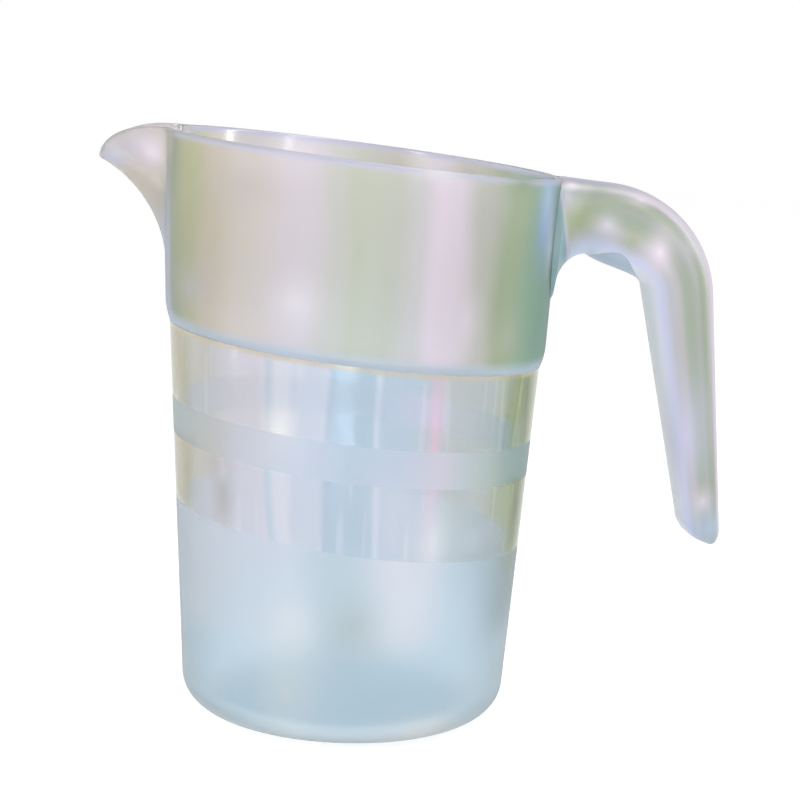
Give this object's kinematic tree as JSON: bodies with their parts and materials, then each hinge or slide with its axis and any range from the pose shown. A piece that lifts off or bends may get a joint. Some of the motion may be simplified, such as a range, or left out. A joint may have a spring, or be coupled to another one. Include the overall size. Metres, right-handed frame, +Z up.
{
  "type": "pitcher",
  "caption": "Tapered see-through pitcher with a wider frosted collar, slanted rim, drawn-out spout and an open-ended hollow handle, for serving drinks.",
  "frame": {"origin": "centre of the resting face", "axes": "+Z up along the vessel's axis, +X towards the handle, -X towards the spout"},
  "size_m": [0.2006, 0.124, 0.1823],
  "materials": {
    "clear_polycarbonate": "clear moulded polycarbonate, polished in the windows and fine-blasted in the ring and the lower body",
    "frosted_polycarbonate": "clear moulded polycarbonate with a satin outer face, glossy inside"
  },
  "bodies": {
    "root": {"vessel": "clear_polycarbonate", "collar": "frosted_polycarbonate", "handle_shell": "frosted_polycarbonate", "handle_cover": "frosted_polycarbonate"}
  },
  "joints": []
}
